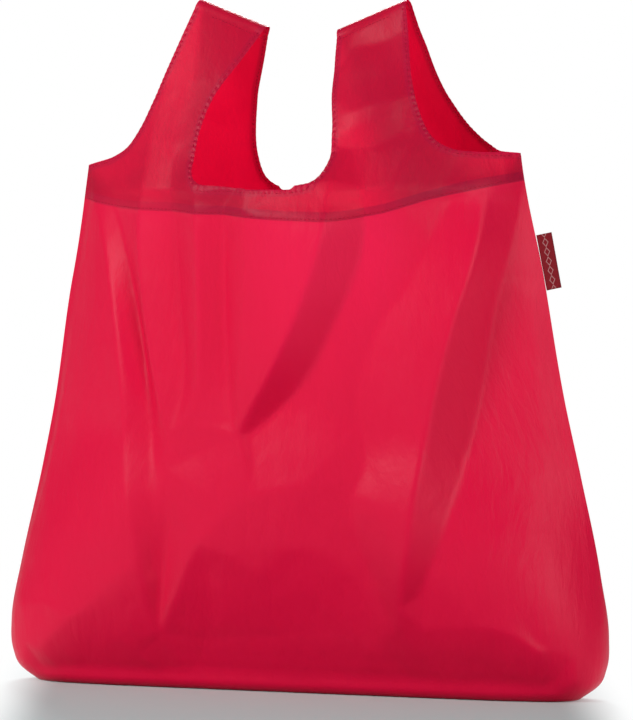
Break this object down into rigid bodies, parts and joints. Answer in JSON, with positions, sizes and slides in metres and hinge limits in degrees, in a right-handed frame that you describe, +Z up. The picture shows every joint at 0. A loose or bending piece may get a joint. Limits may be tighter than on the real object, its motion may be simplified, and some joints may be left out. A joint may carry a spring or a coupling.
{
  "type": "foldable tote bag",
  "caption": "Thin cloth shopping tote with two loop handles cut in one with its panels, a boxed base and a storage pouch inside.",
  "frame": {"origin": "on the floor below the middle of the bag, at the bottom centre of its bounding box", "axes": "+Z up through the handles, -Y towards the bag's front, +X to the right as seen from the front"},
  "size_m": [0.5058, 0.152, 0.5468],
  "materials": {
    "shell_cloth": "thin plain-woven polyester, soft sheen",
    "facing_cloth": "the same polyester as a second layer",
    "seam_thread": "overlocked polyester thread over cloth edges",
    "woven_label": "woven label with a plain repeating motif",
    "snap_plastic": "moulded resin snap fastener"
  },
  "bodies": {
    "bag": {"front_panel": "shell_cloth", "back_panel": "shell_cloth", "front_facing": "facing_cloth", "back_facing": "facing_cloth", "left_side_seam": "seam_thread", "right_side_seam": "seam_thread", "bottom_seam": "seam_thread", "left_corner_seam": "seam_thread", "right_corner_seam": "seam_thread"},
    "left_handle": {"left_strap_front": "shell_cloth", "left_strap_back": "shell_cloth", "left_strap_lining": "facing_cloth"},
    "right_handle": {"right_strap_front": "shell_cloth", "right_strap_back": "shell_cloth", "right_strap_lining": "facing_cloth"},
    "label": {"side_label": "woven_label"},
    "pouch": {"pouch_tether": "facing_cloth", "pouch_back": "shell_cloth", "pouch_front": "shell_cloth", "snap_stud": "snap_plastic", "snap_post": "snap_plastic"},
    "flap": {"pouch_flap": "shell_cloth", "snap_cap": "snap_plastic", "snap_socket": "snap_plastic"}
  },
  "joints": [
    {"name": "left_handle_fold", "type": "hinge", "parent": "bag", "child": "left_handle", "pos_m": [-0.0775, -0.032, 0.475], "axis": [1, 0, 0], "range_deg": [0, 95]},
    {"name": "right_handle_fold", "type": "hinge", "parent": "bag", "child": "right_handle", "pos_m": [0.0775, -0.032, 0.475], "axis": [1, 0, 0], "range_deg": [0, 95]},
    {"name": "pouch_swing", "type": "hinge", "parent": "bag", "child": "pouch", "pos_m": [0, 0.0722, 0.388], "axis": [-1, 0, 0], "range_deg": [0, 120]},
    {"name": "flap_open", "type": "hinge", "parent": "pouch", "child": "flap", "pos_m": [0, 0.0522, 0.3706], "axis": [-1, 0, 0], "range_deg": [0, 150]},
    {"name": "label_bend", "type": "hinge", "parent": "bag", "child": "label", "pos_m": [0.2003, 0, 0.34], "axis": [-0.1903, 0, 0.9817], "range_deg": [-60, 60]}
  ]
}
